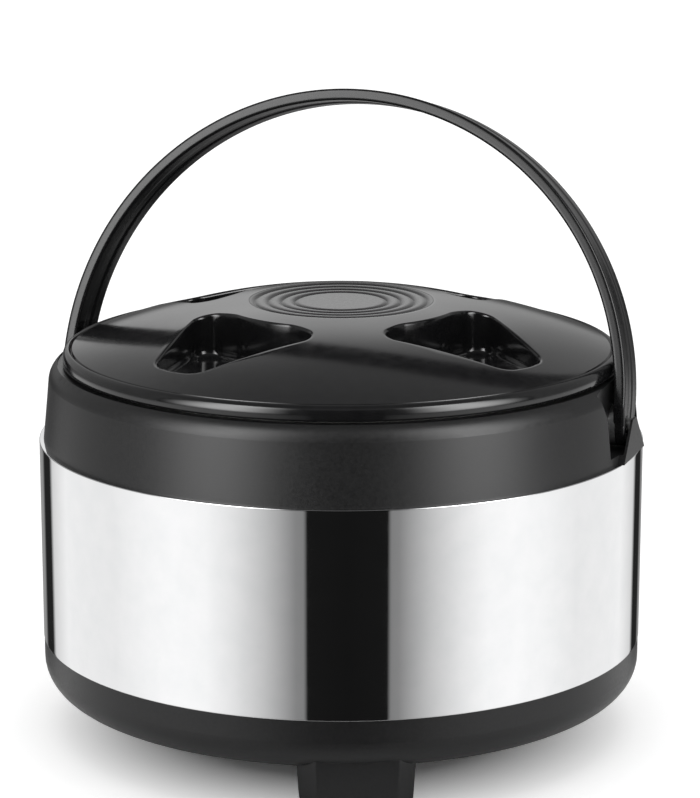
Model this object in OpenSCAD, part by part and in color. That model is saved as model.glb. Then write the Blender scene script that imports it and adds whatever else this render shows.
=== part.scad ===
// Electric food warmer: insulated steel pot with a lift-off lid and a swinging bail handle.
// +Z is up, the origin is on the floor under the pot's axis, and the bail turns about X.

/* [Shell] */
// Outer radius of the steel shell
body_r = 120; // [115:1:128]
// Height of the steel shell
shell_h = 80; // [72:1:110]
// Sheet thickness of the shell
shell_t = 0.8; // [0.5:0.1:1.2]
// Width of the edge that is turned in at the top of the shell
shell_lip = 8; // [5:0.5:9]
// Thickness of the insulated wall, from the shell's outside to the pot's inside
wall_t = 20; // [18:0.5:24]

/* [Base] */
// Height of the base from its underside to the shell
base_h = 21.3; // [20:0.1:28]
// Radius of the rounded lower edge of the base
base_edge = 12.5; // [9:0.5:14]
// Wall thickness of the base tray
base_wall = 2.5; // [2:0.1:3.5]
// Height of the rim that stands up inside the shell
upstand_h = 10.7; // [9:0.1:14]
// Thickness of that rim
upstand_t = 4; // [3:0.1:4.5]
// Radius of the service opening under the base
service_r = 78; // [70:1:82]
// Thickness of the bottom cover
cover_t = 2.5; // [2:0.1:4]

/* [Legs] */
// Height of the base above the floor
leg_drop = 18; // [15:0.5:26]
// Width of a leg at the top
leg_w = 44.7; // [36:0.1:52]
// How much narrower a leg is on each side at the floor
leg_taper = 1.2; // [0:0.1:3]
// Depth of a leg from its front to its back
leg_depth = 25; // [20:0.5:25]
// Chamfer on the upright front edges of a leg
leg_chamfer = 6.5; // [3:0.1:8]
// Radius of a rubber foot pad
pad_r = 8; // [6:0.1:10]
// Height of a foot pad
pad_h = 4; // [3:0.1:5]
// How far a pad stands out of its leg
pad_proud = 2; // [1:0.1:2.5]
// Angle of the front leg and the lid, from square to the bail
front_turn = 22; // [0:1:28]

/* [Collar] */
// Height of the collar
collar_h = 29.8; // [28:0.1:40]
// Step from the shell in to the foot of the collar
collar_inset = 1.7; // [1:0.1:3]
// Draft of the collar's side over its height
collar_draft = 3; // [0.5:0.1:4]
// Radius of the rounded shoulder
shoulder_r = 8; // [5:0.1:10]
// Width of the collar's shoulder outside the gap around the lid
lip_w = 2.9; // [2.5:0.1:4]
// Height of the lip that stands around the lid
lip_h = 0.5; // [0.3:0.1:1]
// Height of the mouth that the lid plugs
mouth_h = 9.6; // [8:0.1:12]

/* [Pot] */
// Inside depth of the pot
pot_depth = 82; // [70:1:84]
// Sheet thickness of the pot
pot_t = 0.8; // [0.5:0.1:1.2]
// Inside corner radius of the pot
pot_corner = 15; // [10:0.5:20]
// Thickness of the gasket on the pot's flange
gasket_t = 1; // [0.6:0.1:2]

/* [Heater] */
// Radius of the heater plate
plate_r = 72; // [60:1:74]
// Thickness of the heater plate
plate_t = 3; // [2:0.1:4]
// Thickness of the heating element
element_t = 2; // [1:0.1:3]
// Thickness of the mica sheet
mica_t = 0.8; // [0.4:0.1:1.2]
// Thickness of the clamp plate
clamp_t = 1.2; // [0.8:0.1:2]
// Radius of the clamp stud
stud_r = 3; // [2:0.1:4]
// Height of the heat shield's rim above the floor of the tray
shield_up = 15.5; // [14:0.1:17]

/* [Inlet] */
// Width of the inlet housing
inlet_w = 34; // [33:0.5:44]
// Height of the inlet housing
inlet_h = 14; // [13:0.1:14.5]
// Depth of the inlet housing from its face to its back
inlet_depth = 28; // [26:0.5:30]
// Depth of the socket
socket_depth = 13; // [10:0.5:13]
// Width of the socket
socket_w = 15.4; // [14.5:0.1:17]
// Height of the socket
socket_h = 8.8; // [8:0.1:9.5]
// Radius of an inlet pin
inlet_pin_r = 1.2; // [1:0.1:1.3]
// Distance between the inlet pins
inlet_pitch = 8.6; // [8:0.1:8.8]

/* [Lid] */
// Gap between the lid and the lip of the collar
lid_gap = 2.2; // [1.5:0.1:3]
// Radius of the rounded lid rim
rim_r = 4.2; // [3.4:0.1:4.6]
// Rise of the dome above the rim's crease, if it ran on to the middle
dome_rise = 20.2; // [18:0.1:26]
// Wall thickness of the lid cover
lid_wall = 2.5; // [2:0.1:3]
// Radius of the medallion
medal_r = 36.4; // [30:0.1:37]
// Thickness of the medallion
medal_t = 2.3; // [1.8:0.1:3]
// Number of rings on the medallion
ring_count = 4; // [2:1:5]
// Distance between the rings
ring_step = 5.25; // [4:0.05:6]
// Length of a finger scoop, from the middle outwards
scoop_l = 46.4; // [40:0.1:47]
// Widest half width of a scoop
scoop_half = 29; // [24:0.5:29]
// Distance from the lid's edge to a scoop
scoop_edge = 16.9; // [15:0.1:20]
// Depth of a scoop's floor below the crease of the rim
scoop_drop = 1.6; // [0.5:0.1:1.8]
// Depth of the plug below the lid's seat
plug_h = 10.4; // [8:0.1:10.6]
// Thickness of the lid's liner
liner_t = 1; // [0.8:0.1:1.2]
// Thickness of the lid's gasket
lid_gasket_t = 2; // [1.5:0.1:2.2]

/* [Bail] */
// Step from the shell in to the outside of the bail
bail_inset = 1.6; // [1:0.1:2]
// Thickness of the bail strap
bail_t = 4.5; // [4:0.1:5]
// Width of the bail strap
bail_w = 20.7; // [16:0.1:22]
// Height of the straight foot of the bail above its pivot
bail_foot = 6.8; // [5:0.1:12]
// Backward lean of the bail at rest
bail_lean = 12; // [0:0.5:20]
// Radius of the eye at each end of the bail
eye_r = 8; // [7:0.1:8.5]
// Radius of a pivot pin
pin_r = 3; // [2.5:0.1:3.5]
// Height of the pivots above the foot of the collar
pivot_up = 11.7; // [11.2:0.1:13]
// Thickness of the washer behind each eye
washer_t = 2.7; // [2.5:0.1:3.2]

/* [Hidden] */
$fn = 96;

// Clearance between pieces, fit of a pin, overlap inside one piece, and length of a cut
gap = 0.3;
slip = 0.05;
lap = 0.5;
far = 200;

// Small steps of the body
base_inset = 0.2;
mouth_step = 1.5;
flange_w = 6.5;
cover_lap = 8;
shelf_clear = 6;
face_inset = 4;
screw_r = 1.7;
screw_up = 8;
boss_r = 4;
head_r = 3.5;
head_h = 2.2;

// Small steps of the heater
stud_out = 5;
nut_h = 4;
thermo_can = 6.5;
thermo_reach = 11;
blade_down = 3;
shield_clear = 5;
fuse_r = 2;

// Small steps of the lid and the bail
rim_lift = 0.8;
crease_share = 0.88;
crease_step = 1;
plug_clear = 0.6;
rim_lap = 0.5;
medal_sink = 0.5;
swing_room = 11.65;
ear_clear = 0.4;
pin_bite = 3;

// Heights
z_base = leg_drop;
z_floor = z_base + base_wall;
z_shell = z_base + base_h;
z_foam = z_shell + upstand_h;
z_collar = z_shell + shell_h;
z_lip = z_collar + collar_h;
z_seat = z_lip - lip_h;
z_ledge = z_seat - mouth_h;
z_flange = z_ledge - gasket_t;
z_pot = z_flange - pot_depth;
z_under = z_pot - pot_t;
z_element = z_under - plate_t - element_t;
z_mica = z_element - mica_t;
z_clamp = z_mica - clamp_t;
stud_low = z_clamp - stud_out;
z_shield = z_floor + shield_up;
z_dish = min(z_shield, z_clamp - thermo_can - shield_clear);
z_pivot = z_collar + pivot_up;
z_liner = z_seat - plug_h;
z_rim = z_seat + lid_gasket_t;
z_rim_mid = z_rim + rim_lift;
z_crease = z_rim_mid + crease_share * rim_r;
z_scoop = z_crease - scoop_drop;

// Radii and places of the body
base_r = body_r - base_inset;
edge_c = base_r - base_edge;
upstand_r = body_r - shell_t - 2 * gap;
tray_r = upstand_r - upstand_t;
tray_edge = base_edge - base_wall;
pot_r = body_r - wall_t;
mouth_r = pot_r + mouth_step;
bore_r = pot_r + flange_w;
flange_r = bore_r - lap;
foot_r = body_r - collar_inset;
top_r = foot_r - collar_draft;
lip_r = top_r - lip_w;
lid_r = lip_r - lid_gap;
cover_r = service_r + cover_lap;
cover_screw_r = service_r + cover_lap / 2;
shelf_r = plate_r + shelf_clear;
thermo_r = plate_r / 2;

// Legs and inlet
leg_face = body_r - face_inset;
leg_back = leg_face - leg_depth;
leg_c = (leg_face + leg_back) / 2;
leg_count = 3;
leg_head = 2.5;
inlet_face = body_r - face_inset;
inlet_back = inlet_face - inlet_depth;
inlet_low = z_base - inlet_h;
inlet_turn = 90;
socket_z = inlet_low + inlet_h / 2 - lap;
socket_wall = inlet_face - socket_depth;
inlet_wall = 2;
chamber_x = inlet_back + inlet_wall;
chamber_l = 9;
sink_h = 3;
block_turn = 66;
block_size = [12, 22, 11];
block_r = (service_r + edge_c) / 2;
lead_r = 1.1;
lead_in = 2;
lead_x = chamber_x + chamber_l / 2 - lead_r - gap;

// Bail
bail_r = body_r - bail_inset;
bail_in = bail_r - bail_t;
pocket_x = bail_in - gap - washer_t;
pocket_low = z_pivot - eye_r - lap;
pocket_half = bail_w / 2 + swing_room;
pocket_flare = 4;
ear_in = bail_r + ear_clear;
ear_top = z_pivot + 3;
pin_in = pocket_x - pin_bite;

// Lid
cap_r = lid_r - rim_r + crease_step;
dome_r = (cap_r * cap_r + dome_rise * dome_rise) / (2 * dome_rise);
dome_c = z_crease + dome_rise - dome_r;
plug_r = pot_r - plug_clear;
rim_in = cap_r + rim_lap;
scoop_out = lid_r - scoop_edge;
scoop_in = scoop_out - scoop_l;
scoop_wall = 2;
scoop_inner = 7.2;
scoop_outer = 9;
scoop_tip = 5;
medal_seat = dome_c + sqrt(dome_r * dome_r - medal_r * medal_r) - medal_t - medal_sink;
medal_edge = 3.5;

legs = [for (i = [1:leg_count]) str("leg_", i)];
pads = [for (i = [1:leg_count]) str("foot_pad_", i)];
sides = ["right", "left"];
pins = [for (s = sides) str("pivot_pin_", s)];
washers = [for (s = sides) str("pivot_washer_", s)];

// Ring of rectangular section
module ring(r0, r1, z, h) {
  rotate_extrude() translate([r0, z]) square([r1 - r0, h]);
}

// Draws its children's outline, given in Y and Z, as a bar that runs from x0 to x1
module bar(x0, x1) {
  translate([x0, 0, 0]) rotate([90, 0, 90]) linear_extrude(x1 - x0) children();
}

// Repeats its children at each leg
module at_legs() {
  for (i = [0:leg_count - 1]) rotate([0, 0, leg_angle(i)]) children();
}

function leg_angle(i) = front_turn - 90 + 360 / leg_count * i;

// Repeats its children at each screw of the bottom cover, half way between the legs
module at_cover_screws() {
  rotate([0, 0, 180 / leg_count]) at_legs() translate([cover_screw_r, 0, 0]) children();
}

// Repeats its children at the two screws of the inlet housing
module at_inlet_screws() {
  for (s = [-1, 1]) rotate([0, 0, inlet_turn])
    translate([chamber_x + chamber_l / 2, s * (inlet_w / 2 - boss_r - lap), 0]) children();
}

// Screw that stands head down at height z, with its shank pointing up
module screw(z, wide, high, length) {
  translate([0, 0, z]) cylinder(r = wide, h = high);
  translate([0, 0, z]) cylinder(r = screw_r, h = high + length);
}

// Outside of the base, grown by the gap on its rounded edge only
module base_envelope() {
  rotate_extrude() {
    translate([0, z_base]) square([edge_c, far]);
    translate([0, z_base + base_edge]) square([base_r + gap, far]);
    intersection() {
      translate([edge_c, z_base + base_edge]) circle(base_edge + gap);
      translate([edge_c, 0]) square(far);
    }
  }
}

// Outline of a leg from above, with its two front edges chamfered
module leg_2d() {
  half = leg_w / 2;
  polygon([[leg_back, -half], [leg_face - leg_chamfer, -half], [leg_face, leg_chamfer - half],
    [leg_face, half - leg_chamfer], [leg_face - leg_chamfer, half], [leg_back, half]]);
}

// Leg with a flat front, slightly tapered, hollowed for its pad and screw
module leg(i) {
  half = leg_w / 2;
  color("#2b2b2d") rotate([0, 0, leg_angle(i)]) difference() {
    intersection() {
      linear_extrude(far) leg_2d();
      bar(0, far) polygon([[leg_taper - half, pad_proud], [half - leg_taper, pad_proud],
        [half, z_base + base_edge], [-half, z_base + base_edge]]);
    }
    base_envelope();
    translate([leg_c, 0, 0]) cylinder(r = pad_r + gap, h = pad_h);
    translate([leg_c, 0, 0]) cylinder(r = boss_r + gap, h = pad_h + leg_head + gap);
    translate([leg_c, 0, 0]) cylinder(r = screw_r + gap, h = far);
  }
}

// Rubber pad let into the underside of a leg
module foot_pad(i) {
  color("#1a1a1a") rotate([0, 0, leg_angle(i)]) translate([leg_c, 0, 0]) cylinder(r = pad_r, h = pad_h);
}

// Screws that hold the legs, each hidden by its pad
module leg_screws() {
  color("#b9bcc0") at_legs() translate([leg_c, 0, 0])
    screw(pad_h + gap, boss_r, leg_head, z_floor + screw_up - pad_h - gap - leg_head);
}

// Base pan with a rounded edge, a rim inside the shell, bosses and posts
module base_tray() {
  color("#2b2b2d") difference() {
    union() {
      difference() {
        rotate_extrude() {
          translate([0, z_base]) square([edge_c, base_h]);
          translate([0, z_base + base_edge]) square([base_r, base_h - base_edge]);
          translate([edge_c, z_base + base_edge]) circle(base_edge);
          translate([tray_r, z_base + base_edge]) square([upstand_t, z_foam - z_base - base_edge]);
        }
        rotate_extrude() {
          translate([0, z_floor]) square([tray_r - tray_edge, far]);
          translate([0, z_floor + tray_edge]) square([tray_r, far]);
          translate([tray_r - tray_edge, z_floor + tray_edge]) circle(tray_edge);
        }
      }
      at_legs() translate([leg_c, 0, z_base + lap]) cylinder(r = boss_r, h = base_wall + screw_up);
      at_legs() translate([block_r, 0, z_base + lap]) cylinder(r = boss_r, h = z_shield - z_base - lap);
      at_cover_screws() translate([0, 0, z_base + lap]) cylinder(r = boss_r, h = base_wall + screw_up);
      at_inlet_screws() translate([0, 0, z_base + lap])
        cylinder(r = boss_r, h = base_wall + screw_up / 2 - lap);
    }
    cylinder(r = service_r, h = far);
    at_legs() translate([leg_c, 0, 0]) cylinder(r = screw_r + gap, h = far);
    at_legs() translate([block_r, 0, z_floor]) cylinder(r = screw_r + gap, h = far);
    at_cover_screws() cylinder(r = screw_r + gap, h = far);
    at_inlet_screws() cylinder(r = screw_r + gap, h = far);
    for (s = [-1, 1]) rotate([0, 0, inlet_turn]) translate([lead_x, s * inlet_pitch / 2, 0])
      cylinder(r = 2 * lead_r, h = far);
  }
}

// Round plate that closes the service opening from below, clear of legs and inlet, with vent slots
module bottom_cover() {
  slot_w = 4;
  side = inlet_w / 2 + gap;
  color("#303032") difference() {
    translate([0, 0, z_base - cover_t]) cylinder(r = cover_r, h = cover_t);
    at_cover_screws() cylinder(r = screw_r + gap, h = far);
    at_legs() translate([-gap, 0, 0]) linear_extrude(far) leg_2d();
    rotate([0, 0, inlet_turn]) translate([inlet_back - gap, -side, 0]) cube([far, 2 * side, far]);
    for (a = [0:30:330]) rotate([0, 0, a]) translate([service_r / 3, -slot_w / 2, 0])
      cube([service_r / 2, slot_w, far]);
  }
}

// Screws that hold the bottom cover up under the tray
module cover_screws() {
  color("#b9bcc0") at_cover_screws()
    screw(z_base - cover_t - head_h, boss_r, head_h, cover_t + base_wall + screw_up / 2);
}

// Reflector pan under the heater: its rim lies on the posts of the tray, its middle clears the thermostat
module heat_shield() {
  pan_r = plate_r + boss_r;
  rim = tray_r - shelf_clear;
  color("#c9cbce") difference() {
    rotate_extrude() polygon([[0, z_dish], [plate_r, z_dish], [pan_r, z_shield], [rim, z_shield],
      [rim, z_shield + shell_t], [pan_r, z_shield + shell_t], [plate_r, z_dish + shell_t],
      [0, z_dish + shell_t]]);
    at_legs() translate([block_r, 0, 0]) cylinder(r = screw_r + gap, h = far);
    rotate([0, 0, block_turn]) translate([block_r, 0, 0])
      cylinder(r = block_size[1] / 2 - inlet_wall, h = far);
  }
}

// Screws that hold the shield down on its posts
module shield_screws() {
  color("#b9bcc0") at_legs() translate([block_r, 0, z_shield + shell_t]) mirror([0, 0, 1])
    screw(-head_h, head_r, head_h, screw_up);
}

// Socket's outline, a slot with round ends
module socket_2d() {
  for (s = [-1, 1]) translate([s * (socket_w - socket_h) / 2, socket_z]) circle(d = socket_h);
  translate([(socket_h - socket_w) / 2, socket_z - socket_h / 2]) square([socket_w - socket_h, socket_h]);
}

// Block under the rear of the base, with the socket in its outer face
module inlet_housing() {
  color("#232325") difference() {
    rotate([0, 0, inlet_turn]) difference() {
      translate([inlet_back, -inlet_w / 2, inlet_low])
        cube([inlet_face - inlet_back, inlet_w, inlet_h + base_edge]);
      base_envelope();
      bar(socket_wall, far) socket_2d();
      translate([chamber_x, -inlet_pitch, inlet_low + inlet_wall]) cube([chamber_l, 2 * inlet_pitch, far]);
      for (s = [-1, 1]) bar(chamber_x, far) translate([s * inlet_pitch / 2, socket_z])
        circle(inlet_pin_r + slip);
    }
    at_inlet_screws() cylinder(r = screw_r + gap, h = far);
    at_inlet_screws() cylinder(r = head_r + gap, h = inlet_low + sink_h);
  }
}

// Two contact pins, each with a shoulder against the socket's end wall
module inlet_pins() {
  pin_back = 3;
  shoulder = 0.8;
  color("#c8a24a") rotate([0, 0, inlet_turn]) for (s = [-1, 1]) {
    bar(chamber_x + chamber_l / 2, inlet_face - pin_back) translate([s * inlet_pitch / 2, socket_z])
      circle(inlet_pin_r);
    bar(socket_wall, socket_wall + shoulder) translate([s * inlet_pitch / 2, socket_z])
      circle(inlet_pin_r + shoulder);
  }
}

// Screws that hold the inlet housing up under the tray
module inlet_screws() {
  color("#b9bcc0") at_inlet_screws()
    screw(inlet_low + sink_h - head_h, head_r, head_h, z_floor + screw_up / 2 - inlet_low - sink_h);
}

// Ceramic block on the floor of the tray, beside the inlet
module terminal_block() {
  color("#e6e2d6") rotate([0, 0, block_turn]) translate([block_r, 0, z_floor + block_size[2] / 2])
    difference() {
      cube(block_size, center = true);
      for (s = [-1, 1]) translate([0, s * block_size[1] / 4, block_size[2] / 2 - lead_in])
        cylinder(r = lead_r + gap, h = far);
    }
}

// Round wire through a row of points
module wire(points) {
  for (i = [0:len(points) - 2]) {
    d = points[i + 1] - points[i];
    translate(points[i]) rotate([0, acos(d[2] / norm(d)), atan2(d[1], d[0])])
      cylinder(r = lead_r, h = norm(d));
    if (i > 0) translate(points[i]) sphere(lead_r + 2 * slip);
  }
}

// Turns a point about the pot's axis
function turned(a, p) = [p[0] * cos(a) - p[1] * sin(a), p[0] * sin(a) + p[1] * cos(a), p[2]];

// Wires from the inlet pins up to the side of the terminal block
module supply_leads() {
  way = sign(block_turn - inlet_turn);
  apart = 1.3 * lead_r;
  color("#8a3b2a") for (s = [-1, 1]) {
    y = s * inlet_pitch / 2;
    rise = z_floor + block_size[2] - 3 * lead_r - way * s * apart;
    wire([turned(inlet_turn, [lead_x, y, socket_z - inlet_pin_r]), turned(inlet_turn, [lead_x, y, rise]),
      turned(block_turn, [block_r, -way * (block_size[1] / 2 + gap), rise])]);
  }
}

// Wires from the terminal block up through the shield, over its rim and in to the thermostat's blades
module heater_leads() {
  over = z_shield + shell_t + 2 * lead_r + gap;
  color("#8a3b2a") rotate([0, 0, block_turn]) for (s = [-1, 1]) {
    y = s * block_size[1] / 4;
    wire([[block_r, y, z_floor + block_size[2] - lead_in], [block_r, y, over], [plate_r, y, over],
      [thermo_r + thermo_reach, y, z_clamp - blade_down]]);
  }
}

// Polished steel band with its top edge turned in
module outer_shell() {
  bend = 1.6;
  color("#d9dcdf") rotate_extrude() difference() {
    union() {
      translate([body_r - bend, z_shell]) square([bend, shell_h - bend]);
      translate([body_r - shell_lip, z_collar - bend]) square([shell_lip - bend, bend]);
      translate([body_r - bend, z_collar - bend]) circle(bend);
    }
    translate([0, z_shell - lap]) square([body_r - shell_t, shell_h + lap - bend]);
    translate([0, z_shell - lap]) square([body_r - bend, shell_h + lap - shell_t]);
    translate([body_r - bend, z_collar - bend]) circle(bend - shell_t);
  }
}

// Foam ring between shell and pot, with a shelf under the pot's edge
module body_insulation() {
  color("#e8d79a") rotate_extrude() difference() {
    translate([shelf_r, z_foam])
      square([body_r - shell_t - gap - shelf_r, z_collar - shell_t - gap - z_foam]);
    translate([0, z_pot + pot_corner]) square([pot_r + pot_t + gap, far]);
    translate([0, z_under]) square([pot_r - pot_corner, far]);
    translate([pot_r - pot_corner, z_pot + pot_corner]) circle(pot_corner + pot_t + gap);
  }
}

// Outline of a pot of inside radius r and corner c, open upwards, with its floor at z
module pot_2d(r, c, z) {
  translate([0, z]) square([r - c, z_flange + lap - z]);
  translate([0, z + c]) square([r, z_flange + lap - z - c]);
  translate([r - c, z + c]) circle(c);
}

// Drawn steel pot with a flange at its mouth and a clamp stud under its floor
module inner_pot() {
  color("#d3d6d9") {
    rotate_extrude() difference() {
      union() {
        intersection() {
          pot_2d(pot_r + pot_t, pot_corner + pot_t, z_under);
          square([far, z_flange]);
        }
        translate([0, z_flange - pot_t]) square([flange_r, pot_t]);
      }
      pot_2d(pot_r, pot_corner, z_pot);
    }
    translate([0, 0, stud_low]) cylinder(r = stud_r, h = z_under - stud_low + pot_t / 2);
  }
}

// Silicone ring between the pot's flange and the collar
module pot_gasket() {
  color("#b9b9b4") ring(mouth_r + 2 * lap, flange_r, z_flange, gasket_t);
}

// Aluminium disc that spreads the heat under the pot's floor
module heater_plate() {
  color("#b4b8bc") ring(stud_r + 2 * gap, plate_r, z_under - plate_t, plate_t);
}

// Flat ring element under the heater plate
module heating_element() {
  color("#8d8f92") ring(plate_r / 3, plate_r - cover_lap, z_element, element_t);
}

// Sheet that insulates the element from the clamp plate
module mica_sheet() {
  color("#b89a6a") ring(stud_r + 2 * gap, plate_r - shelf_clear, z_mica, mica_t);
}

// Steel disc that presses the heater up against the pot
module clamp_plate() {
  color("#9da1a5") ring(stud_r + 2 * gap, plate_r - shelf_clear, z_clamp, clamp_t);
}

// Nut on the pot's stud, under the clamp plate
module clamp_nut() {
  nut_wall = 2.5;
  color("#b9bcc0") difference() {
    translate([0, 0, z_clamp - nut_h]) cylinder(r = stud_r + nut_wall, h = nut_h, $fn = 6);
    cylinder(r = stud_r + gap, h = far);
  }
}

// Disc thermostat under the clamp plate, with two blade terminals
module thermostat() {
  can_r = 8;
  blade = [thermo_reach - gap, 3, 1.4];
  color("#3a3a3c") rotate([0, 0, block_turn]) {
    translate([thermo_r, 0, z_clamp - thermo_can]) cylinder(r = can_r, h = thermo_can);
    for (s = [-1, 1]) translate([thermo_r, s * block_size[1] / 4 - blade[1] / 2,
      z_clamp - blade_down - blade[2] / 2]) cube(blade);
  }
}

// One-shot fuse held across the clamp plate
module thermal_fuse() {
  half = 10;
  color("#d9d2c4") rotate([0, 0, front_turn]) translate([0, -thermo_r, z_clamp - fuse_r - lap])
    bar(-half, half) circle(fuse_r);
}

// Saddle that holds the fuse against the clamp plate
module fuse_clip() {
  half = 4;
  wing = 8;
  wall = 1.1;
  color("#a9adb1") rotate([0, 0, front_turn]) translate([0, -thermo_r, z_clamp - fuse_r - lap])
    difference() {
      bar(-half, half) {
        translate([-wing, fuse_r + lap - wall]) square([2 * wing, wall]);
        translate([-fuse_r - wall, -fuse_r - wall]) square([2 * (fuse_r + wall), 2 * fuse_r + wall + lap]);
      }
      bar(-far, far) circle(fuse_r + slip);
    }
}

// Outline of the pocket that a bail leg swings in, in Y and Z
module pocket_2d() {
  wide = pocket_half + pocket_flare;
  flare_low = z_lip - 11;
  flare_high = z_lip - 3;
  polygon([[-pocket_half, pocket_low], [pocket_half, pocket_low], [pocket_half, flare_low],
    [wide, flare_high], [wide, far], [-wide, far], [-wide, flare_high], [-pocket_half, flare_low]]);
}

// Three-cornered cheek outside a bail eye, sloping from the shell in to the pivot
module ear() {
  foot_half = 16.5;
  top_half = 3;
  foot_t = 1.1;
  top_t = 0.9;
  root = pocket_x;
  bend = z_collar + 2;
  intersection() {
    bar(root, far)
      polygon([[-foot_half, z_collar], [foot_half, z_collar], [top_half, ear_top], [-top_half, ear_top]]);
    rotate([90, 0, 0]) translate([0, 0, -far / 2]) linear_extrude(far)
      polygon([[root, z_collar], [ear_in + foot_t, z_collar], [ear_in + foot_t, bend],
        [ear_in + top_t, ear_top], [root, ear_top]]);
  }
}

// Plastic collar with the lid's seat, and a pocket and an ear at each bail pivot
module top_collar() {
  // The shoulder's circle touches the sloping side and passes through the lip's inner edge.
  lean = atan2(collar_draft, collar_h);
  depth = shoulder_r - lip_w * cos(lean);
  drop = sqrt(shoulder_r * shoulder_r - depth * depth);
  shoulder_x = lip_r - depth * cos(lean) + drop * sin(lean);
  shoulder_z = z_lip - depth * sin(lean) - drop * cos(lean);
  touch_x = shoulder_x + shoulder_r * cos(lean);
  touch_z = shoulder_z + shoulder_r * sin(lean);
  color("#2d2d2f") difference() {
    union() {
      rotate_extrude() difference() {
        union() {
          polygon([[mouth_r, z_collar], [foot_r, z_collar], [touch_x, touch_z], [shoulder_x, shoulder_z],
            [lip_r, z_lip], [mouth_r, z_lip]]);
          intersection() {
            translate([shoulder_x, shoulder_z]) circle(shoulder_r);
            polygon([[shoulder_x, shoulder_z], [touch_x, touch_z], [touch_x + shoulder_r, z_lip + shoulder_r],
              [lip_r, z_lip + shoulder_r], [lip_r, z_lip]]);
          }
        }
        translate([0, z_collar - lap]) square([bore_r, z_ledge - z_collar + lap]);
        translate([0, z_seat]) square([lip_r, far]);
      }
      for (a = [0, 180]) rotate([0, 0, a]) ear();
    }
    for (a = [0, 180]) rotate([0, 0, a]) {
      difference() {
        bar(pocket_x, far) pocket_2d();
        bar(ear_in, far) translate([-far / 2, 0]) square([far, ear_top]);
      }
      bar(pin_in, ear_in) translate([0, z_pivot]) circle(pin_r + slip);
    }
  }
}

// Washer between the collar and the bail's eye
module pivot_washer(a) {
  color("#8f9295") rotate([0, 0, a]) bar(pocket_x, pocket_x + washer_t) translate([0, z_pivot])
    difference() {
      circle(eye_r);
      circle(pin_r + gap);
    }
}

// Steel pin through the eye and the washer into the collar, held in by the ear
module pivot_pin(a) {
  color("#c4c7ca") rotate([0, 0, a]) bar(pin_in, ear_in - slip) translate([0, z_pivot]) circle(pin_r);
}

// Section of the bail strap, with a groove along its outer face
module strap_2d() {
  bevel = 0.8;
  groove_half = 1.2;
  groove = 0.6;
  half = bail_w / 2;
  difference() {
    polygon([[bail_in + bevel, -half], [bail_r - bevel, -half], [bail_r, bevel - half],
      [bail_r, half - bevel], [bail_r - bevel, half], [bail_in + bevel, half],
      [bail_in, half - bevel], [bail_in, bevel - half]]);
    translate([bail_r - groove, -groove_half]) square([2 * groove, 2 * groove_half]);
  }
}

// Arched strap with an eye at each end, leaning back at rest
module bail_handle() {
  half = bail_w / 2;
  color("#343436") translate([0, 0, z_pivot]) rotate([-bail_lean, 0, 0]) {
    translate([0, 0, bail_foot]) rotate([90, 0, 0]) rotate_extrude(angle = 180) strap_2d();
    for (a = [0, 180]) rotate([0, 0, a]) bar(bail_in, bail_r) difference() {
      union() {
        polygon([[-half, bail_foot], [half, bail_foot], [eye_r, 0], [-eye_r, 0]]);
        circle(eye_r);
      }
      circle(pin_r + slip);
    }
  }
}

// Shallow dish that plugs the mouth, with a flange for the gasket
module lid_liner() {
  bend = 4;
  color("#cfd2d5") rotate_extrude() difference() {
    union() {
      translate([0, z_liner]) square([plug_r - bend, bend]);
      translate([plug_r - bend, z_liner + bend]) circle(bend);
      translate([0, z_liner + bend]) square([plug_r, z_rim + liner_t - z_liner - bend]);
      translate([0, z_rim]) square([cap_r, liner_t]);
    }
    translate([0, z_liner + liner_t]) square([plug_r - bend, far]);
    translate([plug_r - bend, z_liner + bend]) circle(bend - liner_t);
    translate([0, z_liner + bend]) square([plug_r - liner_t, far]);
  }
}

// Silicone ring that the lid rests on, around its plug
module lid_gasket() {
  color("#bdbdb8") ring(mouth_r + mouth_step, cap_r - lap, z_seat, lid_gasket_t);
}

// Point at angle a on a circle about c, and n steps of such points from a0 to a1
function on_circle(c, r, a) = c + r * [cos(a), sin(a)];
function arc(c, r, a0, a1, n) = [for (i = [0:n]) on_circle(c, r, a0 + (a1 - a0) * i / n)];

// Outline of a scoop along +X, grown by g: a hollow inner end, two straight sides, round corners
module scoop_2d(g) {
  dip = 2;
  inner = [scoop_in + scoop_inner - dip, scoop_half - scoop_inner];
  outer = [scoop_out - scoop_outer, scoop_tip];
  side = outer - inner;
  lean = atan2(side[1], side[0]) + acos((scoop_inner - scoop_outer) / norm(side));
  hollow = acos((scoop_in - dip - g) / (scoop_in - g));
  half = concat(arc([0, 0], scoop_in - g, 0, hollow, 4), arc(inner, scoop_inner + g, 180, lean, 8),
    arc(outer, scoop_outer + g, lean, 0, 6));
  polygon(concat(half, [for (i = [len(half) - 1:-1:1]) [half[i][0], -half[i][1]]]));
}

// Four scoops, grown by g, as bars that stand on height z
module scoops(g, z) {
  for (a = [45:90:315]) rotate([0, 0, front_turn + a]) translate([0, 0, z]) linear_extrude(far)
    scoop_2d(g);
}

// Solid under the dome, lowered by d
module dome(d, r, z) {
  rotate_extrude() intersection() {
    translate([0, dome_c]) circle(dome_r - d, $fn = 360);
    translate([0, z]) square([r, far]);
  }
}

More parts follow.
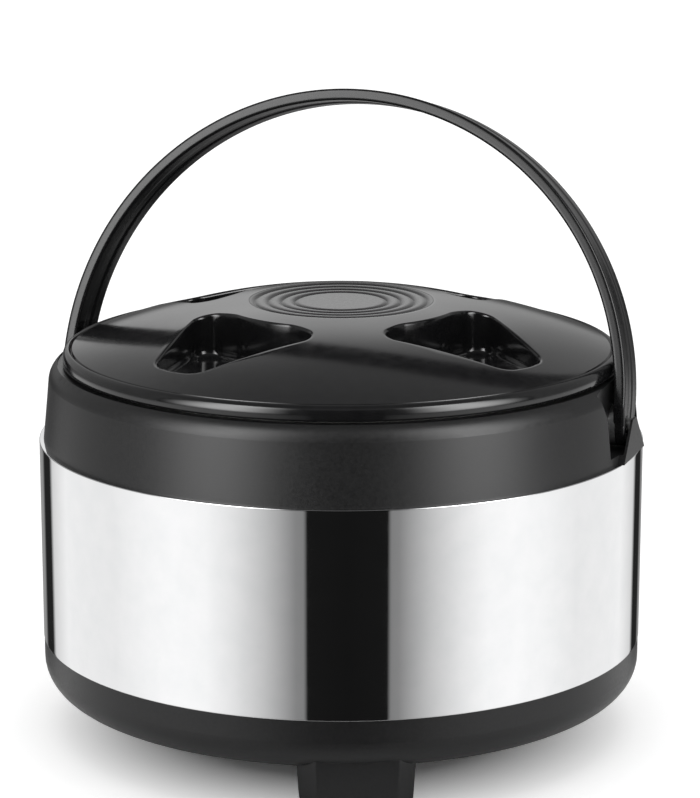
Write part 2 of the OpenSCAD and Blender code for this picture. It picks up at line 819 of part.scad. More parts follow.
// Domed cover with a rounded rim, four scoops and a seat for the medallion
module lid_cover() {
  color("#1d1d1f") difference() {
    union() {
      difference() {
        dome(0, cap_r, z_rim + liner_t);
        dome(lid_wall, mouth_r, z_rim);
      }
      rotate_extrude() intersection() {
        translate([lid_r - rim_r, z_rim_mid]) circle(rim_r);
        translate([rim_in, z_seat + rim_lift]) square(far);
      }
      ring(cap_r - crease_step, rim_in + lap, z_rim + liner_t, z_crease - z_rim - liner_t - lap);
      intersection() {
        dome(lap, cap_r, z_scoop - scoop_wall);
        scoops(scoop_wall, z_scoop - scoop_wall);
      }
      dome(lap, medal_r + medal_edge, medal_seat - lid_wall);
    }
    scoops(0, z_scoop);
    translate([0, 0, medal_seat]) cylinder(r = medal_r + gap, h = far);
  }
}

// Disc with concentric rings, let into the middle of the lid
module lid_medallion() {
  groove_w = 0.9;
  groove = 0.8;
  first = medal_r - 2.65;
  low = medal_seat + medal_t - groove;
  color("#2a2a2c") difference() {
    translate([0, 0, medal_seat]) cylinder(r = medal_r, h = medal_t);
    for (i = [0:ring_count - 1]) ring(first - i * ring_step, first - i * ring_step + groove_w, low, far);
  }
}

// Foam between the liner and the cover
module lid_insulation() {
  corner = 5;
  color("#e8d79a") difference() {
    dome(lid_wall + lap, plug_r - liner_t - gap, z_liner + liner_t);
    scoops(scoop_wall + lap, z_scoop - scoop_wall - lap);
    translate([0, 0, medal_seat - lid_wall - lap]) cylinder(r = medal_r + medal_edge + lap, h = far);
    rotate_extrude() difference() {
      translate([plug_r - corner, 0]) square([far, z_liner + corner]);
      translate([plug_r - corner, z_liner + corner]) circle(corner - liner_t - lap);
    }
  }
}

for (i = [0:leg_count - 1]) leg(i);
for (i = [0:leg_count - 1]) foot_pad(i);
leg_screws();
base_tray();
bottom_cover();
cover_screws();
heat_shield();
shield_screws();
inlet_housing();
inlet_pins();
inlet_screws();
terminal_block();
supply_leads();
heater_leads();
outer_shell();
body_insulation();
inner_pot();
pot_gasket();
heater_plate();
heating_element();
mica_sheet();
clamp_plate();
clamp_nut();
thermostat();
thermal_fuse();
fuse_clip();
top_collar();
for (i = [0, 1]) pivot_washer(180 * i);
for (i = [0, 1]) pivot_pin(180 * i);
bail_handle();
lid_liner();
lid_gasket();
lid_insulation();
lid_cover();
lid_medallion();
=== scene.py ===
import bmesh
import bpy
import numpy as np
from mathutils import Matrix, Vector


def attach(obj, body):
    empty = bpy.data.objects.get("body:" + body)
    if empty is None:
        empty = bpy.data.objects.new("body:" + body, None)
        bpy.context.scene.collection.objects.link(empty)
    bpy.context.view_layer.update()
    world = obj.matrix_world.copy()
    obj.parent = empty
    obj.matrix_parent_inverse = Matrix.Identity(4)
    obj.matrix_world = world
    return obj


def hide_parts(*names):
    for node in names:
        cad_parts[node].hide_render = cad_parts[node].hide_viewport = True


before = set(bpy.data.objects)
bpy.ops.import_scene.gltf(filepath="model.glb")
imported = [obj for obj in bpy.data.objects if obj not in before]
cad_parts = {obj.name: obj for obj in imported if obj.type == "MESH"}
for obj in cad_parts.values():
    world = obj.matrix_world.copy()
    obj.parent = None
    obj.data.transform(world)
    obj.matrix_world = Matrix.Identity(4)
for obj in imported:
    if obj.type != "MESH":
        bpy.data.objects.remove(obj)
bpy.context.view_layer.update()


# Legs: three hollow moulded blocks of satin black plastic, chamfered at the outer corners and narrower
# towards the floor. Each is screwed up into the base tray, whose rounded edge it follows.
MM = 0.001
LEG_TURNS = [-68, 52, 172]
LEG_BACK, LEG_FACE, LEG_WIDE, LEG_CHAMFER = 91.0, 116.0, 44.7, 6.5
LEG_LOW, LEG_HIGH, LEG_NARROWER = 2.0, 23.5, 1.3
LEG_EDGE, LEG_CORNER = 1.4, 1.6
LEG_EDGE_ROWS, LEG_SIDE_ROWS = 7, 8
WELD = 0.004
CLOUD_LOW, CLOUD_HIGH, CLOUD_DETAIL = 0.3, 0.7, 4


def rounded(corners, radius, steps=6):
    """A closed outline with its corners made arcs. Each arc touches both sides of its corner, and its centre
    lies on the line that halves the corner, radius / sin(half the angle) away."""
    p = np.array(corners, float)
    r = np.broadcast_to(np.asarray(radius, float), len(p))[:, None]
    a, b = np.roll(p, 1, 0) - p, np.roll(p, -1, 0) - p
    a, b = a / np.linalg.norm(a, axis=1, keepdims=True), b / np.linalg.norm(b, axis=1, keepdims=True)
    half = np.arccos(np.clip((a * b).sum(1), -1, 1))[:, None] / 2
    middle = (a + b) / np.linalg.norm(a + b, axis=1, keepdims=True)
    centre = p + middle * r / np.sin(half)
    turn = np.pi - 2 * half
    t = np.linspace(0, 1, steps + 1)[None, :]
    u, v = p + a * r / np.tan(half) - centre, p + b * r / np.tan(half) - centre
    share_u, share_v = np.sin((1 - t) * turn) / np.sin(turn), np.sin(t * turn) / np.sin(turn)
    arcs = centre[:, None] + share_u[..., None] * u[:, None] + share_v[..., None] * v[:, None]
    return arcs.reshape(-1, 2)


def quads(rows, columns, closed):
    """The four corner numbers of each face of a rows x columns sheet; closed joins its last column to its first."""
    r = np.arange(rows - 1)[:, None] * columns
    c = np.arange(columns if closed else columns - 1)[None, :]
    d = (c + 1) % columns
    return np.stack([r + c, r + d, r + columns + d, r + columns + c], -1).reshape(-1, 4)


def piece(name, sheets, sharp=35):
    """One closed mesh from sheets of points in mm, each given with whether its rows close on themselves. Seams
    and poles are welded, faces turned outwards, and edges bent by more than sharp degrees stay crisp."""
    points = np.concatenate([s.reshape(-1, 3) for s, _ in sheets]) * MM
    starts = np.cumsum([0] + [s.shape[0] * s.shape[1] for s, _ in sheets])
    faces = np.concatenate([n + quads(*s.shape[:2], closed) for n, (s, closed) in zip(starts, sheets)])
    mesh = bpy.data.meshes.new(name)
    mesh.from_pydata(points.tolist(), [], faces.tolist())
    welded = bmesh.new()
    welded.from_mesh(mesh)
    bmesh.ops.remove_doubles(welded, verts=welded.verts, dist=WELD * MM)
    bmesh.ops.recalc_face_normals(welded, faces=welded.faces)
    welded.to_mesh(mesh)
    welded.free()
    mesh.shade_smooth()
    mesh.set_sharp_from_angle(angle=np.radians(sharp))
    made = bpy.data.objects.new(name, mesh)
    bpy.context.collection.objects.link(made)
    return made


def finish(name, colours, roughness, spots, bump=0.0, metal=0.0, ior=1.5, stretch=(1, 1, 1)):
    """A surface whose colour and roughness each run between two values along a cloudy pattern in the piece's
    own coordinates. spots is the size of the clouds in mm, and bump their height in mm."""
    made = bpy.data.materials.new(name)
    made.use_nodes = True
    nodes, links = made.node_tree.nodes, made.node_tree.links
    shader = nodes["Principled BSDF"]
    shader.inputs["Metallic"].default_value = metal
    shader.inputs["IOR"].default_value = ior
    place = nodes.new("ShaderNodeTexCoord")
    stretched = nodes.new("ShaderNodeMapping")
    stretched.inputs["Scale"].default_value = stretch
    links.new(place.outputs["Object"], stretched.inputs["Vector"])
    cloud = nodes.new("ShaderNodeTexNoise")
    cloud.inputs["Scale"].default_value = 1 / (spots * MM)
    cloud.inputs["Detail"].default_value = CLOUD_DETAIL
    links.new(stretched.outputs["Vector"], cloud.inputs["Vector"])
    shade = nodes.new("ShaderNodeValToRGB")
    for stop, at, colour in zip(shade.color_ramp.elements, (CLOUD_LOW, CLOUD_HIGH), colours):
        stop.position, stop.color = at, (*colour, 1)
    links.new(cloud.outputs["Fac"], shade.inputs["Fac"])
    links.new(shade.outputs["Color"], shader.inputs["Base Color"])
    rub = nodes.new("ShaderNodeMapRange")
    rub.inputs["From Min"].default_value, rub.inputs["From Max"].default_value = CLOUD_LOW, CLOUD_HIGH
    rub.inputs["To Min"].default_value, rub.inputs["To Max"].default_value = roughness
    links.new(cloud.outputs["Fac"], rub.inputs["Value"])
    links.new(rub.outputs["Result"], shader.inputs["Roughness"])
    if bump:
        relief = nodes.new("ShaderNodeBump")
        relief.inputs["Distance"].default_value = bump * MM
        links.new(cloud.outputs["Fac"], relief.inputs["Height"])
        links.new(relief.outputs["Normal"], shader.inputs["Normal"])
    return made


def dress(made, material, body, slot, *nodes):
    """Gives a new piece its material, the body that it moves with and the CAD nodes that it stands for."""
    made.data.materials.append(material)
    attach(made, body)
    if nodes:
        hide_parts(*nodes)


def paint(material, *nodes):
    """Puts a material on CAD nodes that are shown as they are."""
    for name in nodes:
        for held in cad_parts[name].material_slots:
            held.material = material


def turned(points, degrees):
    """Points turned about the upright axis of the pot."""
    a = np.radians(degrees)
    x, y, z = points[..., 0], points[..., 1], points[..., 2]
    return np.stack([x * np.cos(a) - y * np.sin(a), x * np.sin(a) + y * np.cos(a), z], -1)


def leg_sheet():
    """Rows of the leg's outline from the middle of its sole to the middle of its top. The outline is drawn in
    along a quarter circle at the sole's edge, and widens evenly on the way up."""
    half = LEG_WIDE / 2
    outline = rounded([[LEG_BACK, -half], [LEG_FACE - LEG_CHAMFER, -half], [LEG_FACE, LEG_CHAMFER - half],
                       [LEG_FACE, half - LEG_CHAMFER], [LEG_FACE - LEG_CHAMFER, half], [LEG_BACK, half]], LEG_CORNER)
    centre = np.array([(LEG_BACK + LEG_FACE) / 2, 0])
    size = np.array([(LEG_FACE - LEG_BACK) / 2, half])
    t = np.linspace(0, np.pi / 2, LEG_EDGE_ROWS)
    upright = np.linspace(LEG_LOW + LEG_EDGE, LEG_HIGH, LEG_SIDE_ROWS + 1)[1:]
    inset = np.concatenate([LEG_EDGE * (1 - np.sin(t)), np.zeros(LEG_SIDE_ROWS)])
    height = np.concatenate([LEG_LOW + LEG_EDGE * (1 - np.cos(t)), upright])
    inset = inset + LEG_NARROWER * (LEG_HIGH - height) / (LEG_HIGH - LEG_LOW)
    share = 1 - inset[:, None] / size
    share = np.concatenate([[[0, 0]], share, [[0, 0]]])
    height = np.concatenate([[height[0]], height, [height[-1]]])
    plan = centre + share[:, None, :] * (outline - centre)[None]
    return np.concatenate([plan, np.broadcast_to(height[:, None, None], (*plan.shape[:2], 1))], -1)


base_black = finish("base_plastic", [(0.008, 0.008, 0.0084), (0.011, 0.011, 0.0114)],
                    roughness=(0.30, 0.38), spots=1.2, bump=0.003, ior=1.36)
for number, turn in enumerate(LEG_TURNS, 1):
    leg = piece(f"leg_block_{number}", [(turned(leg_sheet(), turn), True)])
    dress(leg, base_black, "body", "black_satin", f"leg_{number}")


# Foot pads: three round plugs of soft black rubber, pressed up into the legs, that keep the warmer from
# sliding.
rubber = finish("matt_rubber", [(0.018, 0.018, 0.018), (0.030, 0.029, 0.028)],
                roughness=(0.75, 0.88), spots=0.6, bump=0.02)
paint(rubber, "foot_pad_1", "foot_pad_2", "foot_pad_3")


# Base tray: a shallow round tray of satin black plastic with a full rounded lower edge, moulded in one
# with the posts that its screws go into.
paint(base_black, "base_tray")


# Bottom cover, heat shield and their screws: a plastic plate that closes the service opening from below,
# a pressed steel pan over it, and zinc-plated pan-head screws.
zinc = finish("zinc_plate", [(0.46, 0.47, 0.48), (0.58, 0.58, 0.57)],
              roughness=(0.28, 0.42), spots=0.8, bump=0.004, metal=1.0)
cover_black = finish("cover_plastic", [(0.018, 0.018, 0.019), (0.026, 0.026, 0.027)],
                     roughness=(0.42, 0.52), spots=0.5, bump=0.015)
paint(cover_black, "bottom_cover")
paint(zinc, "heat_shield", "leg_screws", "cover_screws", "shield_screws", "inlet_screws", "clamp_nut")


# Power inlet: a moulded black socket at the back of the base, screwed to the tray. Two brass pins stand in it,
# held in its inner wall.
brass = finish("drawn_brass", [(0.62, 0.43, 0.16), (0.72, 0.52, 0.22)],
               roughness=(0.22, 0.34), spots=0.7, bump=0.003, metal=1.0)
paint(cover_black, "inlet_housing")
paint(brass, "inlet_pins")


# Wiring and thermostat: a ceramic terminal block on the floor of the tray, and a ceramic disc thermostat under the
# heater. Leads in heat-proof glass sleeving run from the inlet to the block and on to the thermostat.
porcelain = finish("glazed_porcelain", [(0.72, 0.69, 0.62), (0.80, 0.78, 0.72)],
                   roughness=(0.18, 0.28), spots=2.5, bump=0.01)
sleeve = finish("glass_sleeving", [(0.55, 0.50, 0.42), (0.68, 0.64, 0.55)],
                roughness=(0.7, 0.85), spots=0.35, bump=0.04)
paint(porcelain, "terminal_block", "thermostat")
paint(sleeve, "supply_leads", "heater_leads")


# Heater: a cast aluminium plate under the pot, a mica-wound element, a mica sheet and the clamp plate that
# holds them up, with a thermal fuse in its clip.
cast = finish("cast_aluminium", [(0.52, 0.52, 0.53), (0.64, 0.64, 0.65)],
              roughness=(0.35, 0.5), spots=1.5, bump=0.02, metal=1.0)
mica = finish("pressed_mica", [(0.42, 0.35, 0.24), (0.62, 0.55, 0.42)],
              roughness=(0.35, 0.6), spots=3.0, bump=0.02)
paint(cast, "heater_plate", "clamp_plate", "thermal_fuse")
paint(mica, "mica_sheet", "heating_element")
paint(zinc, "fuse_clip")


# Outer shell: a drawn stainless steel sleeve, polished to a mirror. Its top edge is bent in over the foam,
# under the collar, and its foot stands in the base tray. A row of points near each end keeps the wall's shading flat.
SHELL_R, SHELL_T, SHELL_LIP = 120.0, 0.8, 112.0
SHELL_BEND, SHELL_EDGE, SHELL_STEPS = 0.3, 0.2, 8
SHELL_LOW, SHELL_HIGH, SHELL_END = 39.3, 119.3, 0.9
ROUND_STEPS = 480
ROUND = np.linspace(0, 2 * np.pi, ROUND_STEPS + 1)[:-1]


def lathe(outline, angles=ROUND):
    """An outline of (radius, height) points turned round the upright axis, one row for each point."""
    r, z = np.asarray(outline, float).T
    a = np.asarray(angles)
    level = np.broadcast_to(z[:, None], (len(z), len(a)))
    return np.stack([r[:, None] * np.cos(a), r[:, None] * np.sin(a), level], -1)


def ring_of(outline, angles=ROUND):
    """A closed outline turned round the upright axis, with its last point joined to its first."""
    return lathe(np.concatenate([outline, outline[:1]]), angles)


shell_in = SHELL_R - SHELL_T
shell_outline = rounded([[SHELL_R, SHELL_LOW], [SHELL_R, SHELL_HIGH], [SHELL_LIP, SHELL_HIGH],
                         [SHELL_LIP, SHELL_HIGH - SHELL_T], [shell_in, SHELL_HIGH - SHELL_T], [shell_in, SHELL_LOW]],
                        [SHELL_EDGE, SHELL_BEND, SHELL_EDGE, SHELL_EDGE, SHELL_BEND, SHELL_EDGE], SHELL_STEPS)
tall = np.argmax(np.abs(np.diff(shell_outline[:, 1])))
wall_ends = [[SHELL_R, SHELL_LOW + SHELL_END], [SHELL_R, SHELL_HIGH - SHELL_END]]
shell_outline = np.insert(shell_outline, tall + 1, wall_ends, 0)
mirror = finish("mirror_steel", [(0.66, 0.665, 0.67), (0.69, 0.69, 0.695)],
                roughness=(0.025, 0.05), spots=9.0, metal=1.0)
shell = piece("polished_shell", [(ring_of(shell_outline), True)])
dress(shell, mirror, "body", "mirror_steel", "outer_shell")


# Foam: rigid foam, moulded as a ring between the shell and the pot and as a disc inside the lid. Both are held
# by the pieces that close them in.
foam = finish("rigid_foam", [(0.74, 0.66, 0.46), (0.84, 0.78, 0.60)],
              roughness=(0.85, 0.95), spots=0.9, bump=0.12)
paint(foam, "body_insulation", "lid_insulation")


# Inner pot, lid liner and seals: a drawn stainless pot with a brushed inside, hung by its flange on a silicone
# ring, and the lid's pressed liner of the same steel, with its own silicone ring.
brushed = finish("brushed_pot_steel", [(0.54, 0.54, 0.53), (0.66, 0.655, 0.65)],
                 roughness=(0.22, 0.34), spots=0.8, bump=0.004, metal=1.0, stretch=(0.04, 0.04, 1))
silicone = finish("grey_silicone", [(0.30, 0.30, 0.30), (0.38, 0.37, 0.36)],
                  roughness=(0.5, 0.62), spots=1.0, bump=0.01)
paint(brushed, "inner_pot", "lid_liner")
paint(silicone, "pot_gasket", "lid_gasket")


# Top collar: a satin black moulded ring that holds the pot's flange, with a pocket and a raised ear on each
# side for the bail. It is pressed over the shell's turned-in edge.
satin_black = finish("satin_black_plastic", [(0.006, 0.006, 0.0064), (0.009, 0.009, 0.0094)],
                     roughness=(0.34, 0.40), spots=1.2, bump=0.003, ior=1.43)
paint(satin_black, "top_collar")


# Pivots: a zinc-plated steel pin and a thin washer on each side, on which the bail turns. The pins are pressed
# into the walls of the collar's pockets.
paint(zinc, "pivot_washer_right", "pivot_washer_left", "pivot_pin_right", "pivot_pin_left")


# Bail: one arched strap of satin black plastic with round-edged sides. A shallow channel runs along the middle
# of both faces. Its legs narrow to round eyes on the pins.
BAIL_R, BAIL_T, BAIL_W = 117.5, 4.6, 20.7
BAIL_FOOT, BAIL_EYE, BAIL_PIVOT, BAIL_LEAN = 6.8, 8.0, 131.0, 12.0
BAIL_EDGE, CHANNEL_HALF, CHANNEL_DEEP, CHANNEL_POWER = 1.2, 2.7, 0.55, 8
FACE_STEPS, EDGE_STEPS, SIDE_STEPS = 97, 7, 5
EYE_ROWS, FOOT_ROWS, ARCH_ROWS = 25, 9, 241


def strap_section():
    """Points round the strap as (across, outwards): a rectangle with round corners. Along the middle of both faces
    runs a channel with a flat bottom and soft sides, deep / (1 + (across / half width) ** power)."""
    half, thick = BAIL_W / 2, BAIL_T / 2
    face = np.linspace(BAIL_EDGE - half, half - BAIL_EDGE, FACE_STEPS)
    dip = CHANNEL_DEEP / (1 + (face / CHANNEL_HALF) ** CHANNEL_POWER)
    t = np.linspace(0, np.pi / 2, EDGE_STEPS)[1:-1]
    bend, rise = half - BAIL_EDGE + BAIL_EDGE * np.sin(t), thick - BAIL_EDGE + BAIL_EDGE * np.cos(t)
    corner = np.stack([bend, rise], -1)
    side = np.stack([np.full(SIDE_STEPS, half), np.linspace(thick - BAIL_EDGE, BAIL_EDGE - thick, SIDE_STEPS)], -1)
    flip = np.array([1, -1])
    outer = np.stack([face, thick - dip], -1)
    right = np.concatenate([corner, side, corner[::-1] * flip])
    return np.concatenate([outer, right, outer[::-1] * flip, right[::-1] * -flip])


def bail_sheet():
    """The strap's section carried up the right leg, round a half circle and down the left leg. The section is
    narrowed to the eye's round end at each foot. The whole leans back about the pivot line."""
    across, out = strap_section().T
    middle = BAIL_R - BAIL_T / 2
    t = np.linspace(0, np.pi / 2, EYE_ROWS)
    low = np.concatenate([-BAIL_EYE * np.cos(t), np.linspace(0, BAIL_FOOT, FOOT_ROWS)[1:-1]])
    arc = np.linspace(0, np.pi, ARCH_ROWS)
    up = np.concatenate([low, BAIL_FOOT + middle * np.sin(arc), low[::-1]])
    side = np.concatenate([np.full(len(low), middle), middle * np.cos(arc), np.full(len(low), -middle)])
    lean = np.concatenate([np.zeros(len(low)), arc, np.full(len(low), np.pi)])
    eye = np.sqrt(np.clip(BAIL_EYE**2 - np.minimum(up, 0) ** 2, 0, None))
    taper = BAIL_EYE + (BAIL_W / 2 - BAIL_EYE) * np.clip(up / BAIL_FOOT, 0, 1)
    wide = np.where(up < 0, eye, taper) / (BAIL_W / 2)
    x = side[:, None] + out * np.cos(lean)[:, None]
    s = up[:, None] + out * np.sin(lean)[:, None]
    w = wide[:, None] * across
    tip = np.radians(BAIL_LEAN)
    return np.stack([x, s * np.sin(tip) + w * np.cos(tip), BAIL_PIVOT + s * np.cos(tip) - w * np.sin(tip)], -1)


bail_black = finish("bail_plastic", [(0.006, 0.006, 0.0064), (0.009, 0.009, 0.0094)],
                    roughness=(0.18, 0.24), spots=1.5, bump=0.002, ior=1.36)
bail = piece("bail_strap", [(bail_sheet(), True)], sharp=60)
dress(bail, bail_black, "bail", "bail_plastic", "bail_handle")


# Lid cover: a glossy black moulded dome with four finger scoops sunk into it, a fine crease round its edge
# and a rolled rim. The steel liner is clipped up into it, with foam between.
DOME_R, DOME_Z = 293.49, -118.194
SCOOP_TURNS = [67, 157, 247, 337]
SCOOP_IN, SCOOP_OUT, SCOOP_HALF, SCOOP_DIP, SCOOP_TIP = 46.9, 93.3, 29.0, 2.0, 5.0
SCOOP_R_IN, SCOOP_R_OUT, SCOOP_FLOOR, SCOOP_MIDDLE = 7.2, 9.0, 153.5, 68.0
SCOOP_LIP, SCOOP_FOOT = 1.1, 3.0
HOLLOW_STEPS, CORNER_STEPS, FLANK_STEPS = 40, 60, 80
SEAT_R, SEAT_Z, SEAT_EDGE, SEAT_STEP, DOME_EDGE = 36.5, 170.2, 36.7, 0.1, 106.2
CREASE_R, CREASE_DEEP, CREASE_WIDE, CREASE_SHARE = 107.0, 1.1, 0.6, 0.4
RIM_C, RIM_Z, RIM_R, RIM_POWER = 106.0, 151.4, 4.2, 2.6
RIM_FROM, RIM_TO, RIM_STEPS, RIM_CLEAR = 71, -40, 36, 0.1
RIM_LOW, RIM_IN, RIM_SOLE, LID_UNDER = 149.4, 107.5, 1.6, 151.6
OUTSIDE_STEPS, FLANKING_STEPS, INSIDE_STEPS = 129, 73, 57
SKIN_ROWS, SKIN_CROWD, BEND_ROWS, WALL_ROWS, FLOOR_ROWS = 15, 0.8, 8, 6, 9
TINY = 1e-6


def dome(r):
    """Height of the lid's spherical skin at a distance from the axis."""
    return DOME_Z + np.sqrt(DOME_R**2 - r**2)


def arc_points(centre, r, start, end, steps):
    """Points along an arc about a centre, from one angle to another in degrees."""
    a = np.radians(np.linspace(start, end, steps))
    return np.array(centre) + r * np.stack([np.cos(a), np.sin(a)], -1)


def rim_band():
    """Points down the lid's edge, from beside the crease to its underside: a squarish round, with both offsets from
    its centre the rim's radius times the cosine or sine raised to 2 / power."""
    t = np.radians(np.linspace(RIM_FROM, RIM_TO, RIM_STEPS))
    flat = 2 / RIM_POWER
    out, up = np.cos(t) ** flat, np.sign(np.sin(t)) * np.abs(np.sin(t)) ** flat
    band = np.stack([RIM_C + RIM_R * out, RIM_Z + RIM_R * up], -1)
    return band[band[:, 1] > RIM_LOW + RIM_CLEAR]


def scoop_reach(directions):
    """Distance from the scoop's middle to its outline in each direction. Half of the outline is an arc about
    the lid's axis, a corner arc, a straight side and the tip's arc; the other half is its mirror image."""
    inner = np.array([SCOOP_IN + SCOOP_R_IN - SCOOP_DIP, SCOOP_HALF - SCOOP_R_IN])
    outer = np.array([SCOOP_OUT - SCOOP_R_OUT, SCOOP_TIP])
    side = outer - inner
    lean = np.degrees(np.arctan2(side[1], side[0]) + np.arccos((SCOOP_R_IN - SCOOP_R_OUT) / np.hypot(*side)))
    hollow = np.degrees(np.arccos((SCOOP_IN - SCOOP_DIP) / SCOOP_IN))
    corner = arc_points(inner, SCOOP_R_IN, 180, lean, CORNER_STEPS)
    tip = arc_points(outer, SCOOP_R_OUT, lean, 0, CORNER_STEPS)
    flank = corner[-1] + np.linspace(0, 1, FLANK_STEPS)[1:-1, None] * (tip[0] - corner[-1])
    half = np.concatenate([arc_points((0, 0), SCOOP_IN, 0, hollow, HOLLOW_STEPS), corner, flank, tip])
    outline = np.concatenate([half, half[::-1] * [1, -1]]) - [SCOOP_MIDDLE, 0]
    angle = np.arctan2(outline[:, 1], outline[:, 0])
    order = np.argsort(angle)
    return np.interp(directions, angle[order], np.hypot(*outline[order].T), period=2 * np.pi)


def sector_directions():
    """Directions from the scoop's middle round a quarter of the lid, with one at each corner of the quarter:
    across the outer edge, along one side, across the inner edge and back along the other side."""
    corner = np.sqrt(0.5) * np.array([DOME_EDGE, SEAT_EDGE])
    far, near = np.arctan2(corner, corner - SCOOP_MIDDLE)
    outside, side = np.linspace(-far, far, OUTSIDE_STEPS), np.linspace(far, near, FLANKING_STEPS)
    inside = np.linspace(near, 2 * np.pi - near, INSIDE_STEPS)
    return np.concatenate([outside[:-1], side[:-1], inside[:-1], 2 * np.pi - side[:0:-1]])


def sector_edge(directions):
    """The quarter's own boundary in each direction: the nearest of the outer circle, the two sides at 45 degrees
    and the inner circle, where a ray from the scoop's middle meets them."""
    x, y = np.cos(directions), np.sin(directions)
    along = SCOOP_MIDDLE * x
    outside = -along + np.sqrt(along**2 + DOME_EDGE**2 - SCOOP_MIDDLE**2)
    with np.errstate(all="ignore"):
        upper, lower = SCOOP_MIDDLE / (y - x), SCOOP_MIDDLE / (-y - x)
        inside = -along - np.sqrt(along**2 + SEAT_EDGE**2 - SCOOP_MIDDLE**2)
    reach = np.stack([np.where(np.isfinite(d) & (d > TINY), d, np.inf) for d in (outside, upper, lower, inside)])
    return reach.min(0)


def sector_sheet(directions):
    """Rings of points from the quarter's boundary in to the scoop's middle: the domed skin, a round lip, the
    upright wall, a round foot and the flat floor."""
    reach, edge = scoop_reach(directions), sector_edge(directions)
    share = np.linspace(0, 1, SKIN_ROWS)[:, None] ** SKIN_CROWD
    skin = edge + share * (reach + SCOOP_LIP - edge)
    skin_z = dome(np.hypot(SCOOP_MIDDLE + skin * np.cos(directions), skin * np.sin(directions)))
    t = np.linspace(0, np.pi / 2, BEND_ROWS)[1:, None]
    lip, lip_z = reach + SCOOP_LIP * (1 - np.sin(t)), skin_z[-1] - SCOOP_LIP * (1 - np.cos(t))
    down = np.linspace(0, 1, WALL_ROWS)[1:, None]
    wall_z = lip_z[-1] + down * (SCOOP_FLOOR + SCOOP_FOOT - lip_z[-1])
    wall = np.broadcast_to(reach, wall_z.shape)
    foot, foot_z = reach - SCOOP_FOOT * (1 - np.cos(t)), SCOOP_FLOOR + SCOOP_FOOT * (1 - np.sin(t))
    floor = (reach - SCOOP_FOOT) * np.linspace(1, 0, FLOOR_ROWS)[1:, None]
    d = np.concatenate([skin, lip, wall, foot, floor])
    wide = np.ones_like(directions)
    z = np.concatenate([skin_z, lip_z, wall_z, foot_z * wide, np.full(floor.shape, SCOOP_FLOOR)])
    return np.stack([SCOOP_MIDDLE + d * np.cos(directions), d * np.sin(directions), z], -1)


way = sector_directions()
sector = sector_sheet(way)
sector_angle = np.arctan2(sector[0, :, 1], sector[0, :, 0])
sector_far = np.hypot(sector[0, :, 0], sector[0, :, 1])
edge_angle = np.sort(sector_angle[np.abs(sector_far - DOME_EDGE) < TINY])
seat_angle = np.sort(sector_angle[np.abs(sector_far - SEAT_EDGE) < TINY])
edge_angles = np.radians(np.array(SCOOP_TURNS))[:, None] + edge_angle[:-1]
seat_angles = np.radians(np.array(SCOOP_TURNS))[:, None] + seat_angle[:-1]
crease = [[DOME_EDGE, dome(DOME_EDGE)], [CREASE_R - CREASE_WIDE, dome(CREASE_R - CREASE_WIDE)],
          [CREASE_R - CREASE_WIDE / 2, dome(CREASE_R) - CREASE_DEEP * CREASE_SHARE],
          [CREASE_R, dome(CREASE_R) - CREASE_DEEP]]
underside = [[RIM_IN + RIM_SOLE, RIM_LOW], [RIM_IN, RIM_LOW], [RIM_IN, LID_UNDER], [0, LID_UNDER]]
rim_outline = np.concatenate([crease, rim_band(), underside])
seat_outline = [[SEAT_EDGE, dome(SEAT_EDGE)], [SEAT_R, dome(SEAT_EDGE) - SEAT_STEP], [SEAT_R, SEAT_Z], [0, SEAT_Z]]
gloss_black = finish("gloss_black_plastic", [(0.008, 0.008, 0.0085), (0.011, 0.011, 0.0115)],
                     roughness=(0.10, 0.14), spots=4.0, bump=0.002)
lid = piece("domed_lid", [(turned(sector, turn), True) for turn in SCOOP_TURNS]
            + [(lathe(rim_outline, edge_angles.ravel()), True), (lathe(seat_outline, seat_angles.ravel()), True)])
dress(lid, gloss_black, "lid", "black_gloss", "lid_cover")


# Lid medallion: a plain round plate of black plastic set into the middle of the lid, with four fine rings
# turned into it. It is glued into its seat.
MEDAL_R, MEDAL_LOW, MEDAL_HIGH, MEDAL_EDGE, MEDAL_RISE = 36.45, 170.2, 172.5, 0.15, 0.45
MEDAL_FLAT, MEDAL_STEPS, MEDAL_EDGE_STEPS, MEDAL_SKIP = 12, 260, 6, 3
RING_FIRST, RING_STEP, RING_COUNT, RING_DEEP, RING_POWER = 34.2, 5.25, 4, 0.9, 0.8
RING_FROM = 14


def medallion_outline():
    """Profile from the middle of the top out to the edge and under. The outer part rises to the lid's skin along a
    parabola. Each ring is a narrow valley between crowned lands: its depth follows 1 - |sin| ** power of the distance
    from the first valley."""
    r = np.concatenate([[0, MEDAL_FLAT / 2, MEDAL_FLAT], np.linspace(RING_FROM, MEDAL_R - MEDAL_EDGE, MEDAL_STEPS)])
    wave = np.abs(np.sin(np.pi * (r - RING_FIRST) / RING_STEP)) ** RING_POWER
    held = (r > RING_FIRST - (RING_COUNT - 0.5) * RING_STEP) & (r < RING_FIRST + RING_STEP / 2)
    rise = MEDAL_RISE * np.clip((r - MEDAL_FLAT) / (MEDAL_R - MEDAL_FLAT), 0, 1) ** 2
    top = np.stack([r, MEDAL_HIGH + rise - RING_DEEP * np.where(held, 1 - wave, 0)], -1)
    t = np.linspace(0, np.pi / 2, MEDAL_EDGE_STEPS)[1:]
    out, up = MEDAL_R - MEDAL_EDGE * (1 - np.sin(t)), MEDAL_HIGH + MEDAL_RISE - MEDAL_EDGE * (1 - np.cos(t))
    return np.concatenate([top, np.stack([out, up], -1), [[MEDAL_R, MEDAL_LOW], [0, MEDAL_LOW]]])


